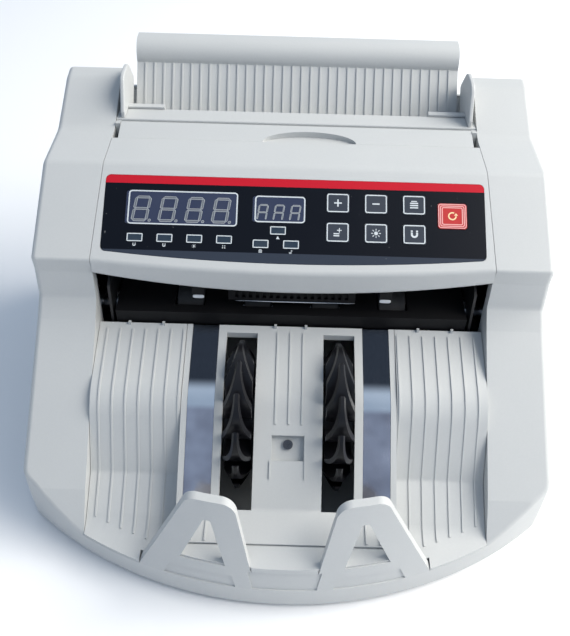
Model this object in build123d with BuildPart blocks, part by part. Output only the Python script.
"""Banknote counting machine, built as separate pieces in millimetres.

+X is to the right of the user, +Y to the back, +Z up. The origin is on the resting surface, at the middle of
the overall width and depth. Stations along the depth are given as distances back from the front of the bow."""
from build123d import *
from math import atan2, cos, degrees, hypot, radians, sin, sqrt, tan
import os

os.makedirs("parts", exist_ok=True)

# ---- driving dimensions -------------------------------------------------------------------------------------
body_width = 300  # across the base at its front corners
body_depth = 272  # front of the bow to the rear panel
plate_overhang = 18  # hopper plate behind the rear panel
bow_radius = 235  # plan radius of the front edge
bay_width = 226  # between the side covers, where the notes are stacked
neck_width = 220  # between the side covers at the hopper
wall = 2.5  # moulded walls
gap = 0.3  # seam between two mouldings
draft = 2.0  # degrees, lean of the outer walls
foot_height = 2.5
base_height = 20  # top of the base pan
pan_floor = 2.5
corner_round = 8

# side outline of the covers and the console: stations and heights
toe_rise, toe_run = 18.7, 18
slope_top, slope_top_height = 123, 97
neck_station, neck_height = 133, 106
lip_station, lip_height = 135, 123
brow_station, brow_height = 134, 133
shelf_front, shelf_height = 184, 164
shelf_rear = 220
ear_front, ear_front_height = 254, 180
ear_height = 183
bend_radii = [6, 5, 4, 2, 2, 8, 16, 12]  # where the side outline bends, from the toe to the ear
edge_round = 3.5  # outer edges of the covers

# stacker pocket
ramp_bend, ramp_bend_height = 88, 73.6
ramp_foot, ramp_foot_height = 38, 37.3
pocket_front = 18
centre_width = 122  # raised middle of the stacker
side_rear, side_top_height = 130, 88.8  # rear edge of the stacker plates
side_bend, side_bend_height = 85, 74
side_valley, side_valley_height = 60, 37
side_toe = 34
plate_shell = 4  # stacker plates, measured straight down
rib_pitch, rib_height, rib_width = 7.5, 0.7, 0.9

# impellers that pull the notes into the pocket
impeller_station, impeller_height = 92.5, 53.2
impeller_radius, impeller_width, impeller_spacing = 43.5, 15.5, 56.8
impeller_blades, hub_radius = 13, 17
slot_width = 18.2

# stoppers
stopper_lean = 15.0  # degrees
stopper_wall = 4.5
stopper_height = 76.5
arch_foot_outer, arch_foot_inner = 79.4, 15.6
sill_height = 35.5

# note path
output_station, output_height, output_radius = 150, 86, 13
pinch_radius, nip = 7.6, 0.4
feed_station, feed_height, feed_radius = 203, 134, 22
pickup_radius, pickup_proud = 11, 1.2
shaft_radius = 4
bearing_radius, bearing_width = 9.5, 5
running = 0.05  # radial clearance of a shaft in its bearing
frame_half, frame_thickness = 105, 1.5

# hopper
plate_half, plate_thickness = 103, 3
plate_station, plate_height = 256, 160  # a point of the plate's face
plate_top, plate_top_height = 286, 193
plate_foot = 236
guide_half, guide_thickness = 107, 2.5
bar_front, bar_rear, bar_height = 227, 240, 167
lid_front, lid_half = 211, 106.5

# key panel, measured up the console's slope from its front edge
panel_half, panel_low, panel_high, panel_bow = 107.5, 6, 51.4, 5.1
panel_thickness = 0.8
key_width, key_depth, key_pitch, key_row = 12.9, 11.6, 21.5, 17.5
key_column, key_line = 24.5, 20.2
restart_width, restart_depth, restart_x, restart_up = 16.4, 15.1, 89, 31.7
key_clearance, key_proud, key_thickness, key_travel = 0.25, 0.3, 1.2, 0.4
count_window = (-63.5, 32.2, 63, 19.7)  # middle, height up the slope, width, depth
batch_window = (-8.7, 33, 29.7, 15.3)
light_width, light_depth = 8.6, 4.6

# drive
belt_thickness, belt_width = 1.5, 6
drive_plane = 117  # inner edge of the belts, outside the side frames
motor_station, motor_height, motor_radius, motor_length = 185, 58, 26, 62

# ---- derived ------------------------------------------------------------------------------------------------
depth = body_depth + plate_overhang
front = -depth / 2
rear = front + body_depth
body_half, bay_half, neck_half = body_width / 2, bay_width / 2, neck_width / 2
bow_centre = front + bow_radius


def at(station):
    """Y of a station given as a distance back from the front of the bow."""
    return front + station


def bow(x):
    """Y of the bow's edge at a distance x from the middle."""
    return bow_centre - sqrt(bow_radius**2 - x**2)


def finish(builder, name):
    """Label one piece and write it to its own file."""
    builder.part.label = name
    export_step(builder.part, f"parts/{name}.step")


def body_plan(inset):
    """Outline of the whole body seen from above, with rounded corners."""
    half, back = body_half - inset, rear - inset
    corner = bow(body_half) + inset
    with BuildSketch() as plan:
        with BuildLine():
            ThreePointArc((-half, corner), (0, front + inset), (half, corner))
            Polyline((half, corner), (half, back), (-half, back), (-half, corner))
        make_face()
        fillet(plan.vertices(), corner_round - inset)
    return plan.sketch


def side_outline(inset):
    """Outline of a side cover seen from the side: local x is Y, local y is Z."""
    toe = bow(bay_half)
    bends = [
        (toe + toe_run, base_height + toe_rise),
        (at(slope_top), slope_top_height),
        (at(neck_station), neck_height),
        (at(lip_station), lip_height),
        (at(brow_station), brow_height),
        (at(shelf_front), shelf_height),
        (at(shelf_rear), shelf_height),
        (at(ear_front), ear_front_height),
    ]
    with BuildSketch() as outline:
        with BuildLine():
            Polyline(
                (front - 1, base_height),
                (toe, base_height),
                *bends,
                (rear + 1, ear_height),
                (rear + 1, -1),
                (front - 1, -1),
                close=True,
            )
        make_face()
        for (y, z), radius in zip(bends, bend_radii):
            fillet(outline.vertices().sort_by_distance((y, z, 0))[0], radius)
        if inset:
            offset(amount=-inset, kind=Kind.INTERSECTION, mode=Mode.REPLACE)
    return outline.sketch


def middle_plan(inset):
    """Plan of everything between the side covers, drawn inset on both sides."""
    low, high = bay_half - inset, neck_half - inset
    with BuildSketch() as plan:
        with BuildLine():
            Polyline(
                (-low, front - 1),
                (low, front - 1),
                (low, at(brow_station)),
                (high, at(shelf_front)),
                (high, rear + plate_overhang),
                (-high, rear + plate_overhang),
                (-high, at(shelf_front)),
                (-low, at(brow_station)),
                close=True,
            )
        make_face()
    return plan.sketch


# ---- base pan and feet --------------------------------------------------------------------------------------
with BuildPart() as base_pan:
    with BuildSketch(Plane.XY.offset(foot_height)):
        add(body_plan(0))
    extrude(amount=base_height - foot_height)
    fillet(base_pan.faces().sort_by(Axis.Z)[0].edges(), 1.5)
    with BuildSketch(Plane.XY.offset(foot_height + pan_floor)):
        add(body_plan(wall))
    extrude(amount=base_height, mode=Mode.SUBTRACT)
    foot_x, foot_front, foot_rear = body_half - 28, at(62), rear - 26
    foot_places = [(-foot_x, foot_front), (foot_x, foot_front), (-foot_x, foot_rear), (foot_x, foot_rear)]
    foot_stem = 4
    with Locations(*[(x, y, foot_height) for x, y in foot_places]):
        Cylinder(foot_stem + running, pan_floor * 3, mode=Mode.SUBTRACT)
    # vents under the transformer
    with BuildSketch(Plane.XY):
        with Locations((62, at(232))):
            with GridLocations(8, 0, 7, 1):
                SlotOverall(34, 3, rotation=90)
    extrude(amount=foot_height + pan_floor + 1, mode=Mode.SUBTRACT)
finish(base_pan, "base_pan")

with BuildPart() as rubber_feet:
    foot_radius = 9
    with Locations(*[(x, y, 0) for x, y in foot_places]):
        Cylinder(foot_radius, foot_height, align=(Align.CENTER, Align.CENTER, Align.MIN))
        Cylinder(foot_stem, foot_height + pan_floor + 1.5, align=(Align.CENTER, Align.CENTER, Align.MIN))
    chamfer(rubber_feet.edges().group_by(Axis.Z)[0], 0.8)
finish(rubber_feet, "rubber_feet")

# ---- side covers --------------------------------------------------------------------------------------------
with BuildPart() as cover_core:
    with BuildSketch(Plane.YZ):
        add(side_outline(wall))
    extrude(amount=body_width)
    with BuildSketch(Plane.XY):
        add(body_plan(wall))
    extrude(amount=ear_height, taper=draft, mode=Mode.INTERSECT)
    with BuildSketch(Plane.XY):
        add(middle_plan(-wall))
    extrude(amount=ear_height, mode=Mode.SUBTRACT)

with BuildPart() as right_cover:
    with BuildSketch(Plane.YZ):
        add(side_outline(0))
    extrude(amount=body_width)
    with BuildSketch(Plane.XY.offset(base_height)):
        add(body_plan(0))
    extrude(amount=ear_height, taper=draft, mode=Mode.INTERSECT)
    with BuildSketch(Plane.XY):
        add(middle_plan(0))
    extrude(amount=ear_height, mode=Mode.SUBTRACT)
    fillet(right_cover.edges().sort_by_distance((body_half, at(shelf_front + 20), shelf_height))[0], edge_round)
    add(cover_core.part, mode=Mode.SUBTRACT)
    # inside, the cover is open to the side frame
    with BuildSketch(Plane.YZ.offset(neck_half - 1)):
        with BuildLine():
            Polyline(
                (at(side_valley + 14), base_height - 1),
                (at(side_valley + 14), side_valley_height + 9),
                (at(side_bend + 11), side_bend_height - 6),
                (at(neck_station + 3), side_top_height - 7),
                (at(lip_station + 5), lip_height - 4),
                (at(shelf_front), shelf_height - 16),
                (rear - 13, shelf_height - 16),
                (rear - 13, base_height - 1),
                close=True,
            )
        make_face()
    extrude(amount=bay_half - neck_half + wall + 2, mode=Mode.SUBTRACT)
finish(right_cover, "right_cover")

with BuildPart() as left_cover:
    mirror(right_cover.part, about=Plane.YZ)
finish(left_cover, "left_cover")

# ---- places on the console's slope --------------------------------------------------------------------------
key_names = [["key_add", "key_uv", "key_mg"], ["key_plus", "key_minus", "key_batch"]]
key_places = {
    name: (key_column + column * key_pitch, key_line + row * key_row)
    for row, names in enumerate(key_names)
    for column, name in enumerate(names)
}
light_pitch, light_line = 16.65, 14.2
light_places = [(-88.8 + i * light_pitch, light_line) for i in range(4)] + [(-18.4, 12.3), (-1.4, 12.3), (-8.9, 20.4)]


def panel_shape(extra):
    """The membrane's outline on the slope, with its lower edge bowed down."""
    half, low, high = panel_half + extra, panel_low - extra, panel_high + extra
    with BuildSketch() as shape:
        with BuildLine():
            ThreePointArc((-half, low), (0, low - panel_bow), (half, low))
            Polyline((half, low), (half, high), (-half, high), (-half, low))
        make_face()
        fillet(shape.vertices(), 3)
    return shape.sketch


# ---- console between the covers -----------------------------------------------------------------------------
slope_angle = degrees(atan2(shelf_height - brow_height, shelf_front - brow_station))
slope = Plane(
    origin=(0, at(brow_station), brow_height),
    x_dir=(1, 0, 0),
    z_dir=(0, -sin(radians(slope_angle)), cos(radians(slope_angle))),
)
slope_normal = Axis((0, 0, 0), slope.z_dir)
brow_bow = 4  # the console's front edge stands forward in the middle
chin_sag = 8  # its lower edge hangs lower there
console_skirt = 19
console_rear = at(lid_front) - gap
recess_x, recess_width, recess_run, recess_drop = 8, 56, 9, 2.2  # finger recess at the front of the lid
dish_width, dish_run, dish_drop = 48, 5.5, 1.0  # and its front half in the console


def console_solid(inset):
    """The console's outer shape, or the space inside it."""
    high, reach = shelf_height - inset, at(brow_station) - 20
    slip = inset / cos(radians(slope_angle))
    rise = tan(radians(slope_angle))
    with BuildPart() as block:
        with BuildSketch(Plane.YZ):
            with BuildLine():
                Polyline(
                    (reach, brow_height - 20 * rise - slip),
                    (at(shelf_front) + inset * rise / 2, high),
                    (console_rear + (1 if inset else 0), high),
                    (console_rear + (1 if inset else 0), shelf_height - console_skirt - (1 if inset else 0)),
                    (at(shelf_front), shelf_height - console_skirt - (1 if inset else 0)),
                    (at(brow_station), brow_height - console_skirt - (1 if inset else 0)),
                    (reach, brow_height - 20 * rise - console_skirt - (1 if inset else 0)),
                    close=True,
                )
            make_face()
        extrude(amount=body_width, both=True)
        with BuildSketch(Plane.XY):
            add(middle_plan(gap + inset))
        extrude(amount=ear_height, mode=Mode.INTERSECT)
        # bowed front
        with BuildSketch(Plane.XY):
            with BuildLine():
                half, edge = body_half, at(brow_station) + inset
                sag = brow_bow * (body_half / bay_half) ** 2
                ThreePointArc((-half, edge + sag - brow_bow), (0, edge - brow_bow), (half, edge + sag - brow_bow))
                Polyline((half, edge + sag - brow_bow), (half, rear), (-half, rear), (-half, edge + sag - brow_bow))
            make_face()
        extrude(amount=ear_height, mode=Mode.INTERSECT)
        # lower edge of the front
        with BuildSketch(Plane.XZ.offset(-front)):
            with BuildLine():
                low = lip_height - (1 if inset else 0)
                ThreePointArc((-bay_half, low), (0, low - chin_sag), (bay_half, low))
                Polyline((bay_half, low), (bay_half, 0), (-bay_half, 0), (-bay_half, low))
            make_face()
        extrude(amount=-body_depth * 2, mode=Mode.SUBTRACT)
    return block.part


with BuildPart() as console:
    add(console_solid(0))
    # soft edges along the top, the brow and the lip
    edges_to_round = [
        ((0, at(shelf_front), shelf_height), bend_radii[5]),
        ((0, at(brow_station) - brow_bow, brow_height - 2), 3),
        ((0, at(brow_station) - brow_bow, lip_height - chin_sag), 2),
        ((0, console_rear, shelf_height), 0.8),
    ]
    for place, radius in edges_to_round:
        fillet(console.edges().sort_by_distance(place)[0], radius)
    add(console_solid(wall), mode=Mode.SUBTRACT)
    # shallow bed for the membrane, with openings for the displays, lights and keys
    with BuildSketch(slope):
        add(panel_shape(gap / 2))
    extrude(amount=-panel_thickness, mode=Mode.SUBTRACT)
    with BuildSketch(slope):
        for x, up, width, height in (count_window, batch_window):
            with Locations((x, up)):
                Rectangle(width - 4, height - 4)
        with Locations(*light_places):
            Rectangle(light_width - 4, light_depth - 1)
        with Locations(*key_places.values()):
            Rectangle(key_width - 4, key_depth - 4)
        with Locations((restart_x, restart_up)):
            Rectangle(restart_width - 4, restart_depth - 4)
    extrude(amount=-3 * wall, mode=Mode.SUBTRACT)
    # pockets that let the keys travel
    with BuildSketch(slope.offset(-panel_thickness)):
        with Locations(*key_places.values()):
            Rectangle(key_width + 2 * key_clearance, key_depth + 2 * key_clearance)
        with Locations((restart_x, restart_up)):
            Rectangle(restart_width + 2 * key_clearance, restart_depth + 2 * key_clearance)
    extrude(amount=-(key_thickness + key_travel - key_proud - panel_thickness + 0.2), mode=Mode.SUBTRACT)
    # front half of the finger recess
    with BuildSketch(Plane.XY.offset(shelf_height - dish_drop)):
        with Locations((recess_x, console_rear)):
            Ellipse(dish_width / 2, dish_run)
    extrude(amount=2 * dish_drop, mode=Mode.SUBTRACT)
finish(console, "console")

# ---- key panel ----------------------------------------------------------------------------------------------
with BuildPart() as keypad_membrane:
    with BuildSketch(slope.offset(-panel_thickness)):
        add(panel_shape(0))
        for x, up, width, height in (count_window, batch_window):
            with Locations((x, up)):
                RectangleRounded(width + gap, height + gap, 1.5, mode=Mode.SUBTRACT)
        with Locations(*light_places):
            Rectangle(light_width + gap, light_depth + gap, mode=Mode.SUBTRACT)
        with Locations(*key_places.values()):
            RectangleRounded(key_width + 2 * key_clearance, key_depth + 2 * key_clearance, 1.2, mode=Mode.SUBTRACT)
        with Locations((restart_x, restart_up)):
            width, height = restart_width + 2 * key_clearance, restart_depth + 2 * key_clearance
            RectangleRounded(width, height, 1.8, mode=Mode.SUBTRACT)
    extrude(amount=panel_thickness)
finish(keypad_membrane, "keypad_membrane")

with BuildPart() as display_windows:
    with BuildSketch(slope.offset(-panel_thickness)):
        for x, up, width, height in (count_window, batch_window):
            with Locations((x, up)):
                RectangleRounded(width, height, 1.5)
    extrude(amount=panel_thickness)
finish(display_windows, "display_windows")

with BuildPart() as status_lights:
    with BuildSketch(slope.offset(-panel_thickness)):
        with Locations(*light_places):
            Rectangle(light_width, light_depth)
    extrude(amount=panel_thickness)
finish(status_lights, "status_lights")

for key, place in key_places.items():
    with BuildPart() as key_pad:
        with BuildSketch(slope.offset(key_proud - key_thickness)):
            with Locations(place):
                RectangleRounded(key_width, key_depth, 1.0)
        extrude(amount=key_thickness)
        chamfer(key_pad.faces().sort_by(slope_normal)[-1].edges(), 0.15)
    finish(key_pad, key)

with BuildPart() as key_restart:
    with BuildSketch(slope.offset(key_proud - key_thickness)):
        with Locations((restart_x, restart_up)):
            RectangleRounded(restart_width, restart_depth, 1.6)
    extrude(amount=key_thickness)
    chamfer(key_restart.faces().sort_by(slope_normal)[-1].edges(), 0.15)
finish(key_restart, "key_restart")

board_depth, board_thickness = 14, 1.6  # display board below the slope's face
module_top = wall + 0.5
for name, (x, up, width, height) in (("count_display", count_window), ("batch_display", batch_window)):
    with BuildPart() as module:
        with BuildSketch(slope.offset(-board_depth)):
            with Locations((x, up)):
                Rectangle(width - 5, height - 5)
        extrude(amount=board_depth - module_top)
    finish(module, name)

with BuildPart() as display_board:
    with BuildSketch(slope.offset(-board_depth - board_thickness)):
        with Locations((0, (panel_low + panel_high) / 2)):
            Rectangle(2 * panel_half - 16, panel_high - panel_low - 4)
    extrude(amount=board_thickness)
    with BuildSketch(slope.offset(-board_depth - board_thickness)):
        with Locations((-50, 30), (20, 30), (60, 30)):
            Rectangle(22, 10)
    extrude(amount=-3)
    # light pipes' lamps
    with BuildSketch(slope.offset(-board_depth)):
        with Locations(*light_places):
            Circle(1.5)
    extrude(amount=board_depth - panel_thickness - 1)
    with BuildSketch(slope.offset(-board_depth)):
        with Locations(*key_places.values(), (restart_x, restart_up)):
            Rectangle(6, 6)
    extrude(amount=board_depth - key_thickness - key_travel - 0.4)
finish(display_board, "display_board")

# ---- lid and bar in front of the hopper ---------------------------------------------------------------------
lid_roll, pin_radius, pin_length, pin_reach = 2.2, 1.0, 8, 2.6
hinge_station, hinge_height = bar_front - gap - lid_roll, bar_height - 0.5 - lid_roll
hinge_line = Location((0, at(hinge_station), hinge_height), (0, 90, 0))
with BuildPart() as top_lid:
    with BuildSketch(Plane.YZ):
        with BuildLine():
            Polyline(
                (at(lid_front), shelf_height - wall),
                (at(lid_front), shelf_height - 0.5),
                (at(hinge_station), hinge_height + lid_roll),
                (at(hinge_station), hinge_height - lid_roll),
                (at(hinge_station) - 2, shelf_height - wall),
                close=True,
            )
        make_face()
        with Locations((at(hinge_station), hinge_height)):
            Circle(lid_roll)
    extrude(amount=lid_half, both=True)
    # finger recess at the front edge
    with BuildSketch(Plane.XY.offset(bar_height)):
        with Locations((recess_x, at(lid_front))):
            Ellipse(recess_width / 2, recess_run)
    extrude(amount=shelf_height - bar_height - recess_drop, mode=Mode.SUBTRACT)
    for side in (-1, 1):
        with Locations(hinge_line * Pos(0, 0, side * lid_half)):
            Cylinder(pin_radius + running, 2 * pin_length, mode=Mode.SUBTRACT)
finish(top_lid, "top_lid")

with BuildPart() as lid_pins:
    for side in (-1, 1):
        with Locations(hinge_line * Pos(0, 0, side * (lid_half + pin_reach - pin_length / 2))):
            Cylinder(pin_radius, pin_length - 0.5)
finish(lid_pins, "lid_pins")

with BuildPart() as cross_bar:
    with BuildSketch(Plane.YZ):
        with BuildLine():
            Polyline(
                (at(bar_front), bar_height - wall),
                (at(bar_front), bar_height),
                (at(bar_rear), bar_height),
                (at(bar_rear), bar_height - 9),
                (at(bar_rear) - wall, bar_height - 9),
                (at(bar_rear) - wall, bar_height - wall),
                close=True,
            )
        make_face()
    extrude(amount=neck_half - gap, both=True)
    fillet(cross_bar.edges().filter_by(Axis.X).group_by(Axis.Z)[-1], 0.8)
    # a lug at each end holds the lid's pin
    lug_inner = lid_half + gap
    with BuildSketch(Plane.YZ.offset(lug_inner)):
        with BuildLine():
            Polyline(
                (at(hinge_station) - 2.5, hinge_height + 2.5),
                (at(hinge_station) - 2.5, bar_height - 9),
                (at(bar_rear) - wall, bar_height - 9),
                (at(bar_rear) - wall, bar_height - wall / 2),
                (at(bar_front) + 1, bar_height - wall / 2),
                close=True,
            )
        make_face()
    extrude(amount=neck_half - gap - lug_inner)
    mirror(about=Plane.YZ)
    with Locations(hinge_line):
        Cylinder(pin_radius, body_width, mode=Mode.SUBTRACT)
finish(cross_bar, "cross_bar")

# ---- stacker plates -----------------------------------------------------------------------------------------
def plate_line(points, radii, drop):
    """A bent plate's section: its upper face through the points, and the same line lower down."""
    lower = [(y, z - drop) for y, z in reversed(points)]
    with BuildSketch() as section:
        with BuildLine():
            Polyline(*points, *lower, close=True)
        make_face()
        for (y, z), radius in zip(points[1:-1], radii):
            for height in (z, z - drop):
                fillet(section.vertices().sort_by_distance((y, height, 0))[0], radius)
    return section.sketch


centre_half = centre_width / 2
side_line = [
    (at(side_rear), side_top_height),
    (at(side_bend), side_bend_height),
    (at(side_valley), side_valley_height),
    (at(side_toe), base_height + 2),
    (front + 1, base_height + 1.5),
]
side_radii = [30, 5, 20]
side_outer, side_inner = bay_half - gap, centre_half + gap
rib_places = [side_outer - 5 - i * rib_pitch for i in range(7)]
rib_stop, rib_margin, stopper_clear = 12, 4, 0.2
tab_places, tab_size, tab_rise = (75, 95), 1.5, 1.8
with BuildPart() as right_stacker_plate:
    with BuildSketch(Plane.YZ.offset(side_inner)):
        add(plate_line(side_line, side_radii, plate_shell))
    extrude(amount=side_outer - side_inner)
    with BuildSketch(Plane.XY.offset(base_height - plate_shell)):
        add(body_plan(0.2))
    extrude(amount=side_top_height, mode=Mode.INTERSECT)
    # thin raised lines down the plate, stopping short of its rear edge and of the bow
    raised = [(y, z + rib_height) for y, z in side_line]
    with BuildPart(mode=Mode.PRIVATE) as ribs:
        for x in rib_places:
            with BuildSketch(Plane.YZ.offset(x - rib_width / 2)):
                add(plate_line(raised, side_radii, plate_shell))
            extrude(amount=rib_width)
        with BuildSketch(Plane.XY):
            with BuildLine():
                Polyline(
                    (side_inner - 1, bow(side_inner) + rib_stop),
                    (side_outer + 1, bow(side_outer) + rib_stop),
                    (side_outer + 1, at(side_rear) - rib_margin),
                    (side_inner - 1, at(side_rear) - rib_margin),
                    close=True,
                )
            make_face()
        extrude(amount=side_top_height + 2 * plate_shell, mode=Mode.INTERSECT)
    add(ribs.part)
    # tabs that locate the rear edge
    with Locations(*[(x, at(side_rear), side_top_height - tab_size) for x in tab_places]):
        Box(tab_size, tab_size, tab_size + tab_rise, align=(Align.CENTER, Align.MAX, Align.MIN))
    # the plate ends behind the foot of the stopper
    with BuildSketch(Plane.XY.offset(base_height - plate_shell)):
        add(body_plan(-1) - body_plan(stopper_wall + 1.2))
        with Locations((arch_foot_outer + stopper_clear, 0)):
            Rectangle(body_width, body_depth * 2, align=(Align.MIN, Align.CENTER), mode=Mode.SUBTRACT)
    extrude(amount=2 * plate_shell, mode=Mode.SUBTRACT)
    # the plate clears the base pan's wall
    with BuildSketch(Plane.XY.offset(base_height)):
        add(body_plan(-5) - body_plan(wall + 0.2))
    extrude(amount=-2 * plate_shell, mode=Mode.SUBTRACT)
finish(right_stacker_plate, "right_stacker_plate")

with BuildPart() as left_stacker_plate:
    mirror(right_stacker_plate.part, about=Plane.YZ)
finish(left_stacker_plate, "left_stacker_plate")

ramp_angle = degrees(atan2(ramp_bend_height - ramp_foot_height, ramp_bend - ramp_foot))
ramp = Plane(
    origin=(0, at(ramp_foot), ramp_foot_height),
    x_dir=(1, 0, 0),
    z_dir=(0, -sin(radians(ramp_angle)), cos(radians(ramp_angle))),
)
slot_middle = impeller_spacing / 2
slot_front, slot_rear = 37.6, 125.5
strip_inner, strip_outer, strip_front, strip_sunk, strip_thickness = 42.3, 57.6, 39, 0.5, 0.8
centre_rib_front, centre_rib_rear = 76, 126
centre_line = [
    (at(side_rear), side_top_height),
    (at(ramp_bend), ramp_bend_height),
    (at(ramp_foot), ramp_foot_height),
    (at(pocket_front), ramp_foot_height - 0.6),
]
centre_radii = [30, 4]
recess_half, recess_low, recess_high, recess_sunk = 9.2, 27, 41, 4


def along_centre(x_places, width, proud, thickness, station, rear_station):
    """Strips that follow the centre plate from one station to another, standing proud of its face."""
    line = [(y, z + proud) for y, z in centre_line]
    with BuildPart(mode=Mode.PRIVATE) as strips:
        for x in x_places:
            with BuildSketch(Plane.YZ.offset(x - width / 2)):
                add(plate_line(line, centre_radii, thickness))
            extrude(amount=width)
        with BuildSketch(Plane.XY):
            with Locations((0, at(station))):
                Rectangle(body_width, rear_station - station, align=(Align.CENTER, Align.MIN))
        extrude(amount=plate_top_height, mode=Mode.INTERSECT)
    return strips.part


strip_places = [-(strip_inner + strip_outer) / 2, (strip_inner + strip_outer) / 2]
with BuildPart() as centre_stacker_plate:
    with BuildSketch(Plane.YZ):
        add(plate_line(centre_line, centre_radii, plate_shell))
    extrude(amount=centre_half, both=True)
    # side and front skirts down to the floor of the pocket
    with BuildSketch(Plane.YZ.offset(centre_half - wall)):
        with BuildLine():
            Polyline(
                centre_line[2],
                (at(ramp_bend), ramp_bend_height - plate_shell / 2),
                (at(side_rear) - 2, side_top_height - plate_shell / 2),
                (at(side_rear) - 2, side_top_height - 12),
                (at(side_bend), side_bend_height - 12),
                (at(side_valley), base_height + 4),
                (at(side_toe), base_height - 2),
                (at(pocket_front), base_height - 2),
                centre_line[3],
                close=True,
            )
        make_face()
    extrude(amount=wall)
    mirror(about=Plane.YZ)
    with Locations((0, at(pocket_front) + wall / 2, (base_height + ramp_foot_height) / 2 - 2)):
        Box(centre_width, wall, ramp_foot_height - base_height)
    # slots for the impellers
    with BuildSketch(Plane.XY.offset(base_height)):
        with Locations((-slot_middle, at(slot_front)), (slot_middle, at(slot_front))):
            Rectangle(slot_width, slot_rear - slot_front, align=(Align.CENTER, Align.MIN))
    extrude(amount=side_top_height, mode=Mode.SUBTRACT)
    # channels for the guide strips, and low ribs down the middle
    channel, depth_under = strip_outer - strip_inner + gap, strip_sunk + strip_thickness
    add(
        along_centre(strip_places, channel, plate_shell, plate_shell + depth_under, strip_front, side_rear + 1),
        mode=Mode.SUBTRACT,
    )
    add(
        along_centre(
            (-rib_pitch, 0, rib_pitch),
            rib_width,
            rib_height,
            rib_height + strip_sunk,
            centre_rib_front,
            centre_rib_rear,
        )
    )
    # ribs in front of the strips
    with BuildSketch(Plane.XY.offset(ramp_foot_height - 1)):
        for side in (-1, 1):
            with Locations(*[(side * (36 + i * rib_pitch), at(ramp_foot - 12)) for i in range(4)]):
                Rectangle(rib_width, 14)
    extrude(amount=1 + rib_height / 2)
    # square recess with the screw that holds the plate
    with BuildSketch(ramp.offset(-recess_sunk - wall)):
        with Locations((0, (recess_low + recess_high) / 2)):
            Rectangle(2 * recess_half + 3, recess_high - recess_low + 3)
    extrude(amount=recess_sunk + wall - 1)
    with BuildSketch(ramp.offset(-recess_sunk)):
        with Locations((0, (recess_low + recess_high) / 2)):
            Rectangle(2 * recess_half, recess_high - recess_low)
    extrude(amount=recess_sunk + 1, mode=Mode.SUBTRACT)
    with Locations(ramp.offset(-recess_sunk) * Pos(0, recess_low + 9, 0)):
        Hole(1.7)
    with Locations(*[(side * 9, at(side_rear), side_top_height - tab_size) for side in (-1, 1)]):
        Box(tab_size, tab_size, tab_size + tab_rise, align=(Align.CENTER, Align.MAX, Align.MIN))
    for side in (-1, 1):
        with BuildSketch(ramp):
            with Locations((side * (recess_half + 0.6), recess_low - 5)):
                Rectangle(rib_width, 10)
        extrude(amount=rib_height)
finish(centre_stacker_plate, "centre_stacker_plate")

with BuildPart() as guide_strips:
    strip_width = strip_outer - strip_inner
    add(along_centre(strip_places, strip_width, -strip_sunk, strip_thickness, strip_front + gap, side_rear))
finish(guide_strips, "guide_strips")

# ---- stoppers -----------------------------------------------------------------------------------------------
# A leaning wall turned about the bow's centre, cut to two pointed arches joined by a low sill.
arch_top_outer, arch_top_inner = 50.5, 26.5
window_low_outer, window_low_inner, window_top_outer, window_top_inner = 56, 31.5, 42.3, 38.7
window_low, window_high = sill_height - 1, 64
bow_axis = Axis((0, bow_centre, 0), (0, 0, 1))
wrap = 2 * degrees(atan2(arch_foot_outer + 6, bow_radius))
wrap_start = Plane(
    origin=(0, bow_centre, 0),
    x_dir=(-sin(radians(wrap / 2)), -cos(radians(wrap / 2)), 0),
    z_dir=(-cos(radians(wrap / 2)), sin(radians(wrap / 2)), 0),
)


def leaning_wall(outer, inner, low, high):
    """Part of a cone about the bow's centre, between two distances behind the bow's leaning face."""
    lean = tan(radians(stopper_lean))
    with BuildPart() as cone:
        with BuildSketch(wrap_start):
            with BuildLine():
                Polyline(
                    (bow_radius - outer - lean * (low - base_height), low),
                    (bow_radius - outer - lean * (high - base_height), high),
                    (bow_radius - inner - lean * (high - base_height), high),
                    (bow_radius - inner - lean * (low - base_height), low),
                    close=True,
                )
            make_face()
        revolve(axis=bow_axis, revolution_arc=wrap)
    return cone.part


def both_sides(points, radius=0):
    """One outline and its mirror image, seen from the front, with its upper corners rounded."""
    with BuildSketch() as outline:
        with BuildLine():
            Polyline(*points, close=True)
        make_face()
        if radius:
            fillet(outline.vertices().group_by(Axis.Y)[-1], radius)
        mirror(about=Plane.YZ)
    return outline.sketch


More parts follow.
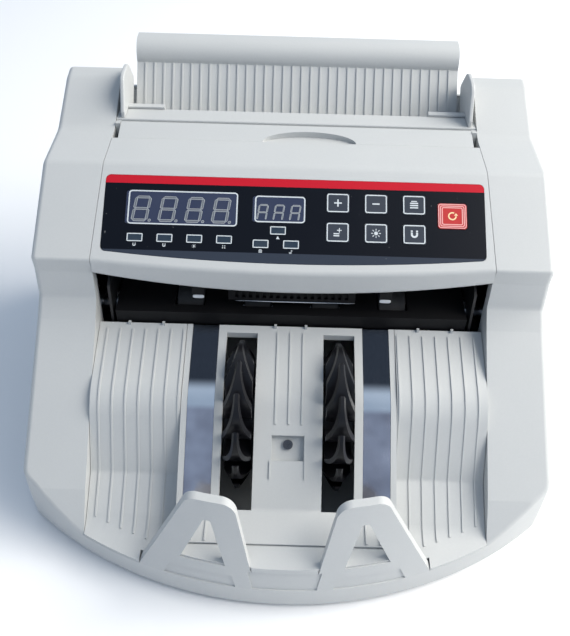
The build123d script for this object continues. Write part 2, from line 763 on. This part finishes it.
arch_round, panel_sunk = 8, 0.8
panel_outer, panel_inner, panel_rise = 66, 26, 8
with BuildPart() as front_stoppers:
    add(leaning_wall(0, stopper_wall, base_height, stopper_height))
    with BuildSketch(Plane.XZ.offset(-bow_centre)):
        arch = [
            (arch_foot_outer, base_height),
            (arch_top_outer, stopper_height),
            (arch_top_inner, stopper_height),
            (arch_foot_inner, base_height),
        ]
        add(both_sides(arch, arch_round))
        with Locations((0, base_height)):
            Rectangle(2 * arch_foot_inner + 4, sill_height - base_height, align=(Align.CENTER, Align.MIN))
        window = [
            (window_low_outer, window_low),
            (window_top_outer, window_high),
            (window_top_inner, window_high),
            (window_low_inner, window_low),
        ]
        add(both_sides(window, 1.2), mode=Mode.SUBTRACT)
    extrude(amount=2 * bow_radius, mode=Mode.INTERSECT)
    # shallow panels at the foot of each arch and between the two
    with BuildPart(mode=Mode.PRIVATE) as panels:
        add(leaning_wall(-1, panel_sunk, base_height - 1, sill_height - 3))
        with BuildSketch(Plane.XZ.offset(-bow_centre)):
            between = arch_foot_inner + 1.5
            Polygon(
                (-between, base_height - 1),
                (between, base_height - 1),
                (between + 2.5, sill_height - 3),
                (-between - 2.5, sill_height - 3),
                align=None,
            )
            foot = [
                (panel_outer, base_height - 1),
                (panel_outer - 4, base_height + panel_rise),
                (panel_inner + 2, base_height + panel_rise),
                (panel_inner, base_height - 1),
            ]
            add(both_sides(foot))
        extrude(amount=2 * bow_radius, mode=Mode.INTERSECT)
    add(panels.part, mode=Mode.SUBTRACT)
    # ledge that closes the gap to the stacker plate
    with BuildSketch(Plane.XY.offset(sill_height - wall)):
        add(body_plan(stopper_wall))
        with Locations((0, at(pocket_front) - gap)):
            Rectangle(2 * window_low_outer, body_depth, align=(Align.CENTER, Align.MAX), mode=Mode.INTERSECT)
    extrude(amount=wall)
finish(front_stoppers, "front_stoppers")

# ---- side frames and their rods -----------------------------------------------------------------------------
deck = foot_height + pan_floor  # inner face of the pan's floor
sink = (plate_top_height - plate_height) / (plate_top - plate_station)  # rise of the hopper plate per station
chute_angle = degrees(atan2(plate_top_height - plate_height, plate_top - plate_station))
chute = Plane(
    origin=(0, at(plate_station), plate_height),
    x_dir=(1, 0, 0),
    z_dir=(0, -sin(radians(chute_angle)), cos(radians(chute_angle))),
)
pickup_contact = plate_foot + 4
pickup_station = pickup_contact + (pickup_radius - pickup_proud) * sin(radians(chute_angle))
pickup_height = plate_height + sink * (pickup_contact - plate_station)
pickup_height -= (pickup_radius - pickup_proud) * cos(radians(chute_angle))
pinch_height = output_height + output_radius + nip + pinch_radius
rod_radius, frame_rear = 4, body_depth - wall
rod_places = [(142, 22), (162, 118), (232, 112), (254, 104)]
shaft_places = {
    "impeller": (impeller_station, impeller_height),
    "output": (output_station, output_height),
    "feed": (feed_station, feed_height),
    "pickup": (pickup_station, pickup_height),
}


def across(station, height, x=0):
    """A place along a shaft that runs from side to side."""
    return Location((x, at(station), height), (0, 90, 0))


motor_boss, motor_shaft = 6, 3
panel_screw_x, panel_screw_heights, ear_width, screw_radius = 98, (32, 140), 14, 1.5
with BuildPart() as right_side_frame:
    with BuildSketch(Plane.YZ.offset(frame_half)):
        with BuildLine():
            Polyline(
                (at(70), deck),
                (at(70), 34),
                (at(79), 48),
                (at(impeller_station + 2), impeller_height + 14.5),
                (at(side_rear + 1), side_top_height - 8),
                (at(136), 112),
                (at(output_station), 120),
                (at(shelf_front), shelf_height - 20),
                (at(196), shelf_height - 14),
                (at(frame_rear), shelf_height - 14),
                (at(frame_rear), deck),
                close=True,
            )
        make_face()
        with Locations(*[(at(station), height) for station, height in shaft_places.values()]):
            Circle(bearing_radius, mode=Mode.SUBTRACT)
        with Locations(*[(at(station), height) for station, height in rod_places]):
            Circle(1.7, mode=Mode.SUBTRACT)
        with Locations((at(motor_station), motor_height)):
            Circle(motor_boss, mode=Mode.SUBTRACT)
    extrude(amount=frame_thickness)
    # folded ears that the rear panel is screwed to
    for height in panel_screw_heights:
        with Locations((frame_half, at(frame_rear), height)):
            Box(ear_width, frame_thickness, ear_width, align=(Align.MAX, Align.MAX, Align.CENTER))
            with Locations(Location((panel_screw_x - frame_half, 0, 0), (90, 0, 0))):
                Cylinder(screw_radius, 4 * frame_thickness, mode=Mode.SUBTRACT)
finish(right_side_frame, "right_side_frame")

with BuildPart() as left_side_frame:
    mirror(right_side_frame.part, about=Plane.YZ)
finish(left_side_frame, "left_side_frame")

with BuildPart() as tie_rods:
    with Locations(*[across(*place) for place in rod_places]):
        Cylinder(rod_radius, 2 * frame_half)
finish(tie_rods, "tie_rods")

with BuildPart() as shaft_bearings:
    middle = frame_half + frame_thickness / 2
    with Locations(*[across(*place, side * middle) for place in shaft_places.values() for side in (-1, 1)]):
        Cylinder(bearing_radius - 0.02, frame_thickness)
        Cylinder(bearing_radius - 2, bearing_width)
        Cylinder(shaft_radius + running, bearing_width, mode=Mode.SUBTRACT)
finish(shaft_bearings, "shaft_bearings")

# ---- impellers ----------------------------------------------------------------------------------------------
vane_sweep, vane_shoulder, vane_root = 52, 30, 9  # degrees: tip to root, tip to shoulder, at the root
vane_tip, vane_middle, tip_width = 1.4, 2, 1.8  # thickness at the tip and the shoulder, width of the tip
taper_radius = hub_radius + 0.6 * (impeller_radius - hub_radius)
wheel_turn = -4  # degrees the wheels are turned at rest
shaft_end = frame_half + frame_thickness / 2 + bearing_width / 2


def polar(radius, angle):
    """Y and Z of a point around the middle of a wheel, with the angle in degrees from +Y towards +Z."""
    return (radius * cos(radians(angle)), radius * sin(radians(angle)))


def vane():
    """One curved vane of an impeller, seen along its shaft: it leaves the hub and bends round to lie along the rim."""
    shoulder_radius, shoulder = hub_radius + 0.78 * (impeller_radius - hub_radius), 90 + vane_shoulder
    root, root_end = 90 + vane_sweep, 90 + vane_sweep - vane_root
    with BuildSketch() as blade:
        with BuildLine():
            ThreePointArc(polar(hub_radius - 1, root), polar(shoulder_radius, shoulder), polar(impeller_radius, 90))
            Line(polar(impeller_radius, 90), polar(impeller_radius - vane_tip, 91))
            ThreePointArc(
                polar(impeller_radius - vane_tip, 91),
                polar(shoulder_radius - vane_middle, shoulder - 2),
                polar(hub_radius - 1, root_end),
            )
            Line(polar(hub_radius - 1, root_end), polar(hub_radius - 1, root))
        make_face()
    return blade.sketch


with BuildPart() as impeller:
    with BuildSketch(Plane.YZ.offset(-impeller_width / 2)):
        with PolarLocations(0, impeller_blades, start_angle=wheel_turn):
            add(vane())
        Circle(hub_radius)
    extrude(amount=impeller_width)
    # the vanes narrow towards their tips
    with BuildSketch(Plane.XY):
        with BuildLine():
            Polyline(
                (-impeller_width / 2, 0),
                (impeller_width / 2, 0),
                (impeller_width / 2, taper_radius),
                (tip_width / 2, impeller_radius + 0.1),
                (-tip_width / 2, impeller_radius + 0.1),
                (-impeller_width / 2, taper_radius),
                close=True,
            )
        make_face()
    revolve(axis=Axis.X, mode=Mode.INTERSECT)
    with Locations(Location((0, 0, 0), (0, 90, 0))):
        Cylinder(hub_radius - 3, impeller_width + 6)
        Cylinder(shaft_radius, 2 * impeller_width, mode=Mode.SUBTRACT)

for name, side in (("left_impeller", -1), ("right_impeller", 1)):
    with BuildPart() as wheel:
        with Locations((side * slot_middle, at(impeller_station), impeller_height)):
            add(impeller.part)
    finish(wheel, name)

# ---- shafts, rollers and pulleys ----------------------------------------------------------------------------
impeller_pulley, output_pulley, feed_small_pulley, pickup_pulley, feed_pulley_radius, motor_pulley_radius = (
    11,
    9,
    9,
    7,
    18,
    7,
)
pulley_x = drive_plane + belt_width / 2
shaft_reach = drive_plane + belt_width + 2


def shaft_with_pulley(place, left, right, pulleys):
    """A shaft between two ends, with the pulleys turned on it, given as (x, radius)."""
    with BuildPart() as shaft:
        with Locations(across(*place, (left + right) / 2)):
            Cylinder(shaft_radius, right - left)
        for x, radius in pulleys:
            with Locations(across(*place, x)):
                Cylinder(radius - running, belt_width)
            with Locations(across(*place, x - belt_width / 2 - 0.6), across(*place, x + belt_width / 2 + 0.6)):
                Cylinder(radius + belt_thickness + 0.5, 0.6)
    return shaft


finish(
    shaft_with_pulley(shaft_places["impeller"], -shaft_end, shaft_reach, [(pulley_x, impeller_pulley)]),
    "impeller_shaft",
)
finish(
    shaft_with_pulley(
        shaft_places["output"], -shaft_reach, shaft_reach, [(pulley_x, output_pulley), (-pulley_x, output_pulley)]
    ),
    "output_shaft",
)
finish(
    shaft_with_pulley(shaft_places["feed"], -shaft_reach, shaft_reach, [(pulley_x, feed_small_pulley)]),
    "feed_shaft",
)
finish(
    shaft_with_pulley(shaft_places["pickup"], -shaft_end, shaft_reach, [(pulley_x, pickup_pulley)]),
    "pickup_shaft",
)

with BuildPart() as feed_pulley:
    with Locations(across(feed_station, feed_height, -pulley_x)):
        Cylinder(feed_pulley_radius - running, belt_width)
        Cylinder(shaft_radius + 4, belt_width + 3)
        Cylinder(shaft_radius, 3 * belt_width, mode=Mode.SUBTRACT)
finish(feed_pulley, "feed_pulley")

with BuildPart() as motor_pulley:
    shaft_start = frame_half + gap
    with Locations(across(motor_station, motor_height, -(shaft_start + shaft_reach) / 2)):
        Cylinder(motor_shaft, shaft_reach - shaft_start)
    with Locations(across(motor_station, motor_height, -pulley_x)):
        Cylinder(motor_pulley_radius - running, belt_width)
finish(motor_pulley, "motor_pulley")

roller_width, feed_width = 16, 26


def rollers(place, xs, radius, width):
    """Rubber rollers pressed on a shaft."""
    with BuildPart() as set_of_rollers:
        with Locations(*[across(*place, x) for x in xs]):
            Cylinder(radius, width)
            Cylinder(shaft_radius, width + 1, mode=Mode.SUBTRACT)
        ends = set_of_rollers.edges().filter_by(GeomType.CIRCLE)
        chamfer(ends.filter_by(lambda edge: edge.radius > radius - 0.1), 0.6)
    return set_of_rollers


finish(rollers(shaft_places["output"], [-60, -20, 20, 60], output_radius, roller_width), "output_rollers")
finish(rollers(shaft_places["feed"], [-slot_middle, slot_middle], feed_radius, feed_width), "feed_rollers")
finish(rollers(shaft_places["pickup"], [-slot_middle, slot_middle], pickup_radius, roller_width), "pickup_rollers")

pinch_axle, cheek_half, cheek = 2, 35, 2
with BuildPart() as pinch_rollers:
    with Locations(across(output_station, pinch_height)):
        Cylinder(pinch_axle, 2 * (cheek_half + cheek))
    with Locations(*[across(output_station, pinch_height, x) for x in (-20, 20)]):
        Cylinder(pinch_radius, roller_width)
finish(pinch_rollers, "pinch_rollers")


def belt(pulleys, x):
    """A flat belt stretched round its pulleys, given as (station, height, radius)."""
    loops = []
    for extra in (belt_thickness, 0):
        with BuildSketch(Plane.YZ.offset(x)) as loop:
            for station, height, radius in pulleys:
                with Locations((at(station), height)):
                    Circle(radius + extra)
            make_hull()
        loops.append(loop.sketch)
    with BuildPart() as band:
        extrude(loops[0], amount=belt_width)
        extrude(loops[1], amount=belt_width, mode=Mode.SUBTRACT)
    return band


clear = 0.3  # the belts are drawn clear of the turning pulleys
finish(
    belt(
        [
            (motor_station, motor_height, motor_pulley_radius + clear),
            (feed_station, feed_height, feed_pulley_radius + clear),
            (output_station, output_height, output_pulley + clear),
        ],
        -drive_plane - belt_width,
    ),
    "drive_belt",
)
finish(
    belt(
        [
            (output_station, output_height, output_pulley + clear),
            (impeller_station, impeller_height, impeller_pulley + clear),
        ],
        drive_plane,
    ),
    "impeller_belt",
)
finish(
    belt(
        [
            (feed_station, feed_height, feed_small_pulley + clear),
            (pickup_station, pickup_height, pickup_pulley + clear),
        ],
        drive_plane,
    ),
    "pickup_belt",
)

# ---- motor --------------------------------------------------------------------------------------------------
with BuildPart() as drive_motor:
    with Locations(across(motor_station, motor_height, motor_length / 2 - frame_half)):
        Cylinder(motor_radius, motor_length)
    with Locations(across(motor_station, motor_height, motor_length - frame_half + 3)):
        Cylinder(motor_radius / 2, 6)
    chamfer(drive_motor.edges().filter_by(GeomType.CIRCLE), 1)
    with Locations(across(motor_station, motor_height, -frame_half + 2)):
        Cylinder(motor_boss, 4, mode=Mode.SUBTRACT)
finish(drive_motor, "drive_motor")

# ---- hopper -------------------------------------------------------------------------------------------------
chute_side = Plane(
    origin=(0, at(plate_station), plate_height),
    x_dir=(0, cos(radians(chute_angle)), sin(radians(chute_angle))),
    z_dir=(1, 0, 0),
)
chute_low = (plate_foot - plate_station) / cos(radians(chute_angle))
chute_high = hypot(plate_top - plate_station, plate_top_height - plate_height)
lip_length, lip_proud, chute_pitch, chute_ribs = 17, 4, 5.9, 34
with BuildPart() as hopper_plate:
    with BuildSketch(Plane.YZ):
        with BuildLine():
            lip_start = chute_side.from_local_coords((chute_high - lip_length, 0))
            lip_crest = chute_side.from_local_coords((chute_high - lip_length / 2, lip_proud))
            under_lip = chute_side.from_local_coords((chute_high - lip_length, -plate_thickness))
            low_face = chute_side.from_local_coords((chute_low, 0))
            low_back = chute_side.from_local_coords((chute_low, -plate_thickness))
            lip_end, hem = (at(plate_top), plate_top_height), at(depth)
            ThreePointArc((lip_start.Y, lip_start.Z), (lip_crest.Y, lip_crest.Z), lip_end)
            Polyline(
                lip_end,
                (hem, plate_top_height),
                (hem, plate_top_height - plate_thickness),
                (under_lip.Y, under_lip.Z),
                (low_back.Y, low_back.Z),
                (low_face.Y, low_face.Z),
                (lip_start.Y, lip_start.Z),
            )
        make_face()
    extrude(amount=plate_half, both=True)
    # raised lines below the lip
    rib_low = chute_low + 8
    with BuildSketch(chute):
        with Locations((0, (rib_low + chute_high - lip_length) / 2)):
            with GridLocations(chute_pitch, 0, chute_ribs, 1):
                Rectangle(1, chute_high - lip_length - rib_low)
    extrude(amount=rib_height)
    # openings for the pickup rollers
    with BuildSketch(chute.offset(-2 * plate_thickness)):
        for side in (-1, 1):
            with Locations((side * slot_middle, chute_low)):
                Rectangle(roller_width + 3, 34)
    extrude(amount=4 * plate_thickness, mode=Mode.SUBTRACT)
    # flanges down to the side frames
    flange_front, flange_low = 256, 128
    for side in (-1, 1):
        with BuildSketch(Plane.YZ.offset(side * (frame_half - 1.5) - 1.5)):
            Polygon(
                (at(flange_front), flange_low),
                (at(frame_rear - 5), flange_low),
                (at(frame_rear - 5), plate_height + sink * (frame_rear - 5 - plate_station) - 3),
                (at(flange_front), plate_height - 3),
                align=None,
            )
        extrude(amount=3)
finish(hopper_plate, "hopper_plate")

guide_clear = 1.4  # from the plate's face to the note guides
lift = guide_clear / cos(radians(chute_angle))
foot_inner, guide_top, tab_low = 82, 189, 158
foot_over, foot_thickness, hook = 0.8, 1.2, 2.7


def chute_line(station):
    """Height of a line just in front of the hopper plate."""
    return plate_height + sink * (station - plate_station) + lift


with BuildPart() as right_note_guide:
    with BuildSketch(Plane.YZ.offset(guide_half - guide_thickness)):
        tab_rear = plate_station + (tab_low - plate_height - lift) / sink
        outline = [
            (at(228), bar_height + gap),
            (at(bar_rear) + gap, bar_height + gap),
            (at(bar_rear) + gap, tab_low),
            (at(tab_rear), tab_low),
            (at(267), chute_line(267)),
            (at(256), guide_top),
            (at(239), guide_top),
            (at(228), bar_height + 4),
        ]
        Polygon(*outline, align=None)
        for (y, z), radius in ((outline[5], 8), (outline[6], 8), (outline[4], 3)):
            fillet(vertices().sort_by_distance((y, z, 0))[0], radius)
    extrude(amount=guide_thickness)
    fillet(right_note_guide.faces().filter_by(Axis.X).edges(), 0.8)
    # the foot rests over the bar and hooks behind it
    with Locations((foot_inner, at(bar_rear) - foot_over, bar_height + gap)):
        Box(guide_half - foot_inner, foot_over + gap + hook, foot_thickness, align=Align.MIN)
    with Locations((foot_inner, at(bar_rear) + gap, tab_low)):
        Box(guide_half - foot_inner, hook, bar_height + gap - tab_low, align=Align.MIN)
finish(right_note_guide, "right_note_guide")

with BuildPart() as left_note_guide:
    mirror(right_note_guide.part, about=Plane.YZ)
finish(left_note_guide, "left_note_guide")

# ---- note separator -----------------------------------------------------------------------------------------
with BuildPart() as separator_block:
    for side in (-1, 1):
        with BuildSketch(Plane.YZ.offset(side * slot_middle - feed_width / 2 + 1)):
            with Locations((at(rod_places[2][0]), rod_places[2][1])):
                Circle(rod_radius + 2.5)
            with Locations((at(226), 126)):
                Circle(3)
            make_hull()
            with Locations((at(feed_station), feed_height)):
                Circle(feed_radius + gap, mode=Mode.SUBTRACT)
            with Locations((at(rod_places[2][0]), rod_places[2][1])):
                Circle(rod_radius, mode=Mode.SUBTRACT)
        extrude(amount=feed_width - 2)
finish(separator_block, "separator_block")

# ---- throat -------------------------------------------------------------------------------------------------
liner_half, liner_front, liner_rear, liner_top = frame_half - 2, side_rear + 1.5, 176, 97
with BuildPart() as throat_liner:
    with Locations((0, at(liner_front), liner_top)):
        Box(2 * liner_half, liner_rear - liner_front, 2, align=(Align.CENTER, Align.MIN, Align.MAX))
    with Locations(*[(x, at(output_station), liner_top) for x in (-60, -20, 20, 60)]):
        Box(roller_width + 2, 24, 6, mode=Mode.SUBTRACT)
    # turned up at the back, and down to the frames at the sides
    with Locations((0, at(liner_rear), liner_top - 2)):
        Box(2 * liner_half, 2, 14, align=(Align.CENTER, Align.MIN, Align.MIN))
    for side in (-1, 1):
        with Locations((side * (frame_half - 1), at(160), liner_top)):
            Box(2, 14, 8, align=(Align.CENTER, Align.MIN, Align.MAX))
    # turned down at the front
    with Locations((0, at(liner_front), liner_top)):
        Box(2 * liner_half, 2, 9, align=(Align.CENTER, Align.MIN, Align.MAX))
    with BuildSketch(Plane.YZ):
        with Locations((at(output_station), output_height)):
            Circle(shaft_radius + 1)
    extrude(amount=body_half, both=True, mode=Mode.SUBTRACT)
finish(throat_liner, "throat_liner")

bar_low, bar_high, bar_station, slat_pitch = 103, 112, 137, 4
rod_station, rod_height = rod_places[1]
with BuildPart() as sensor_bar:
    with Locations((0, at(bar_station), bar_low)):
        Box(2 * (cheek_half + cheek), 4, bar_high - bar_low, align=(Align.CENTER, Align.MIN, Align.MIN))
    with Locations((0, at(bar_station), bar_low + 2)):
        with GridLocations(slat_pitch, 0, 17, 1):
            Box(slat_pitch / 2, 1.5, bar_high - bar_low, align=(Align.CENTER, Align.MIN, Align.MIN), mode=Mode.SUBTRACT)
    # cheeks hold the pinch rollers and reach back to the rod
    for side in (-1, 1):
        with BuildSketch(Plane.YZ.offset(side * (cheek_half + cheek / 2) - cheek / 2)):
            Polygon(
                (at(bar_station) + 2, bar_low),
                (at(output_station) + 4, bar_low),
                (at(rod_station) + 6, rod_height - 4),
                (at(rod_station) + 6, rod_height + 6),
                (at(rod_station) - 6, rod_height + 6),
                (at(bar_station) + 2, bar_high),
                align=None,
            )
            with Locations((at(output_station), pinch_height)):
                Circle(pinch_axle + running, mode=Mode.SUBTRACT)
            with Locations((at(rod_station), rod_height)):
                Circle(rod_radius, mode=Mode.SUBTRACT)
        extrude(amount=cheek)
finish(sensor_bar, "sensor_bar")

sensor_x, tab_width, tab_station = 54, 7, 134.5
with BuildPart() as note_sensors:
    for side in (-1, 1):
        with BuildSketch(Plane.YZ.offset(side * sensor_x - tab_width / 2)):
            Polygon(
                (at(tab_station), 105),
                (at(tab_station) + 2, 105),
                (at(tab_station) + 2, 114),
                (at(rod_station) + 6, rod_height - 6),
                (at(rod_station) + 6, rod_height + 6),
                (at(rod_station) - 6, rod_height + 6),
                (at(tab_station), 118),
                align=None,
            )
            with Locations((at(rod_station), rod_height)):
                Circle(rod_radius, mode=Mode.SUBTRACT)
        extrude(amount=tab_width)
finish(note_sensors, "note_sensors")

# ---- rear panel and what is fixed to it ---------------------------------------------------------------------
inlet_x, inlet_height, switch_height, hood_gap = 72, 44, 78, 4.4
plate_drop = plate_thickness / cos(radians(chute_angle))
under_plate = plate_height + sink * (body_depth - wall - plate_station) - plate_drop
rear_top = under_plate - hood_gap
module_width, module_low, module_high = 30, 30, 92
switch_radius, switch_width, switch_depth = 8, 12, 3.5
knob_height, knob_radius, knob_length, screw_shaft = 118, 9, 12, 3
with BuildPart() as rear_panel:
    with Locations((0, rear, base_height)):
        Box(
            2 * (neck_half - gap),
            wall,
            rear_top - base_height,
            align=(Align.CENTER, Align.MAX, Align.MIN),
        )
    fillet(rear_panel.edges().filter_by(Axis.Y).group_by(Axis.Z)[-1], 4)
    with BuildSketch(Plane.XZ.offset(-rear - 1)):
        with Locations((-55, 50), (-55, 130)):
            with GridLocations(8, 0, 10, 1):
                SlotOverall(26, 3, rotation=90)
        with Locations((0, knob_height)):
            Circle(screw_shaft + running)
        with Locations((inlet_x, (module_low + module_high) / 2)):
            Rectangle(module_width - 4, module_high - module_low - 4)
        with Locations(*[(side * panel_screw_x, height) for side in (-1, 1) for height in panel_screw_heights]):
            Circle(screw_radius + 0.2)
    extrude(amount=3 * wall, mode=Mode.SUBTRACT)
finish(rear_panel, "rear_panel")

inlet_width, inlet_rise, inlet_depth = 24.5, 16.5, 16
with BuildPart() as power_inlet:
    with Locations((inlet_x, rear, (module_low + module_high) / 2)):
        Box(module_width, 2, module_high - module_low, align=(Align.CENTER, Align.MIN, Align.CENTER))
        Box(module_width - 4.2, 24, module_high - module_low - 4.2, align=(Align.CENTER, Align.MAX, Align.CENTER))
    # the socket and its three pins
    with BuildSketch(Plane.XZ.offset(-rear - 3)):
        with Locations((inlet_x, inlet_height)):
            Rectangle(inlet_width, inlet_rise)
    extrude(amount=inlet_depth + 3, mode=Mode.SUBTRACT)
    with Locations(*[(inlet_x + x, rear - 1, inlet_height + z) for x, z in ((-7, -2), (0, 2), (7, -2))]):
        Box(2, inlet_depth, 4, align=(Align.CENTER, Align.MAX, Align.CENTER))
    # round-backed bay for the rocker
    with Locations(across(rear - front - switch_depth, switch_height, inlet_x)):
        Cylinder(switch_radius + gap, switch_width + 2 * gap, mode=Mode.SUBTRACT)
finish(power_inlet, "power_inlet")

with BuildPart() as rocker_switch:
    with BuildSketch(Plane.YZ.offset(inlet_x - switch_width / 2)):
        with Locations((rear - switch_depth, switch_height)):
            Circle(switch_radius)
        middle = rear - switch_depth
        Polygon(
            (middle + 7.6, switch_height - 9),
            (middle + 6, switch_height),
            (middle + 7.6, switch_height + 9),
            (middle + 9, switch_height + 9),
            (middle + 9, switch_height - 9),
            align=None,
            mode=Mode.SUBTRACT,
        )
    extrude(amount=switch_width)
finish(rocker_switch, "rocker_switch")

with BuildPart() as thickness_knob:
    with BuildSketch(Plane.XZ.offset(-rear - 1)):
        with Locations((0, knob_height)):
            Circle(knob_radius)
            with PolarLocations(knob_radius + 0.8, 14):
                Circle(1.6, mode=Mode.SUBTRACT)
    extrude(amount=-knob_length)
    with Locations(Location((0, at(plate_foot + 8), knob_height), (-90, 0, 0))):
        Cylinder(screw_shaft, rear + 2 - at(plate_foot + 8), align=(Align.CENTER, Align.CENTER, Align.MIN))
finish(thickness_knob, "thickness_knob")

with BuildPart() as case_screws:
    head_radius, head_height, shank = 2.8, 1.8, 7
    places = [
        Location((side * panel_screw_x, rear, height), (-90, 0, 0))
        for side in (-1, 1)
        for height in panel_screw_heights
    ]
    with Locations(*places, ramp.offset(-recess_sunk).location * Pos(0, recess_low + 9, 0)):
        Cylinder(head_radius, head_height, align=(Align.CENTER, Align.CENTER, Align.MIN))
        Cylinder(screw_radius, shank, align=(Align.CENTER, Align.CENTER, Align.MAX))
        with Locations((0, 0, head_height)):
            Box(0.8, 3.6, 2, mode=Mode.SUBTRACT)
            Box(3.6, 0.8, 2, mode=Mode.SUBTRACT)
finish(case_screws, "case_screws")

# ---- electronics on the pan ---------------------------------------------------------------------------------
core_x, core_station = 65, 221
with BuildPart() as transformer:
    with Locations((core_x, at(core_station), deck)):
        Box(60, 24, 50, align=(Align.CENTER, Align.CENTER, Align.MIN))
        Box(76, 26, 2, align=(Align.CENTER, Align.CENTER, Align.MIN))
    with Locations((core_x, at(core_station), deck + 25)):
        Box(38, 46, 30)
    fillet(transformer.edges().filter_by(Axis.Z).group_by(Axis.Y)[0], 3)
finish(transformer, "transformer")

board_width, board_run, post_height = 118, 50, 5
with BuildPart() as main_board:
    with Locations((-38, at(232), deck)):
        with GridLocations(board_width - 10, board_run - 8, 2, 2):
            Cylinder(2.5, post_height, align=(Align.CENTER, Align.CENTER, Align.MIN))
    with Locations((-38, at(232), deck + post_height)):
        Box(board_width, board_run, board_thickness, align=(Align.CENTER, Align.CENTER, Align.MIN))
    top = deck + post_height + board_thickness
    with Locations((-80, at(218), top), (-66, at(218), top), (-80, at(236), top)):
        Cylinder(5.5, 16, align=(Align.CENTER, Align.CENTER, Align.MIN))
    with Locations((-44, at(225), top), (-18, at(240), top)):
        Box(18, 12, 3, align=(Align.CENTER, Align.CENTER, Align.MIN))
    with Locations((5, at(222), top), (-50, at(250), top), (-20, at(250), top)):
        Box(16, 6, 9, align=(Align.CENTER, Align.CENTER, Align.MIN))
    with Locations((10, at(240), top)):
        with GridLocations(0, 4, 1, 5):
            Box(16, 1.4, 18, align=(Align.CENTER, Align.CENTER, Align.MIN))
finish(main_board, "main_board")
